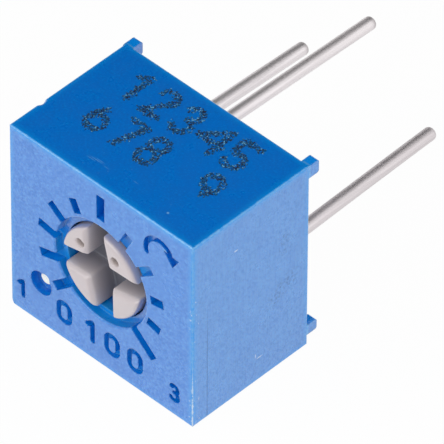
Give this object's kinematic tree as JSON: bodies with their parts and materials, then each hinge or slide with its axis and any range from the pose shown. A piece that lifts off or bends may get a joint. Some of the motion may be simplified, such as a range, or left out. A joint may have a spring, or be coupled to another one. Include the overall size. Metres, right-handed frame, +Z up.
{
  "type": "trimmer potentiometer",
  "caption": "Square sealed single-turn trimmer potentiometer with an engraved dial, a cross-slot rotor and round board pins.",
  "frame": {"origin": "centre of the whole part's footprint, on the surface that its lower side lies on", "axes": "+X to the right along the dial face, +Y along the pins away from the dial, +Z up from the lower side to the printed side"},
  "size_m": [0.007, 0.0106, 0.0068],
  "materials": {
    "case_plastic": "satin blue moulding, fine moulded grain",
    "rotor_plastic": "warm light grey moulding, satin",
    "seal_rubber": "silicone, dull",
    "spring_alloy": "pale precious-metal alloy, bright",
    "ceramic": "fired alumina, fine matt",
    "track_film": "fired cermet, dull black",
    "conductor_film": "fired silver-palladium, satin",
    "tinned_wire": "bright tin plate with drawn lines",
    "solder": "solder, satin",
    "potting": "cast epoxy, glossy",
    "ink": "speckled dark print"
  },
  "bodies": {
    "case": {"housing": "case_plastic", "substrate": "ceramic", "resistive_track": "track_film", "end_pad_1": "conductor_film", "end_pad_3": "conductor_film", "collector": "conductor_film", "pin_1": "tinned_wire", "pin_2": "tinned_wire", "pin_3": "tinned_wire", "solder_1": "solder", "solder_2": "solder", "solder_3": "solder", "epoxy_seal": "potting", "ink_back_row": "ink", "ink_front_row": "ink", "ink_single": "ink"},
    "turning_group": {"rotor": "rotor_plastic", "o_ring": "seal_rubber", "contact_spring": "spring_alloy"}
  },
  "joints": [
    {"name": "rotor_turn", "type": "hinge", "parent": "case", "child": "turning_group", "pos_m": [-0.00006, -0.0053, 0.00343], "axis": [0, -1, 0], "range_deg": [-139.9, 125.1]}
  ]
}
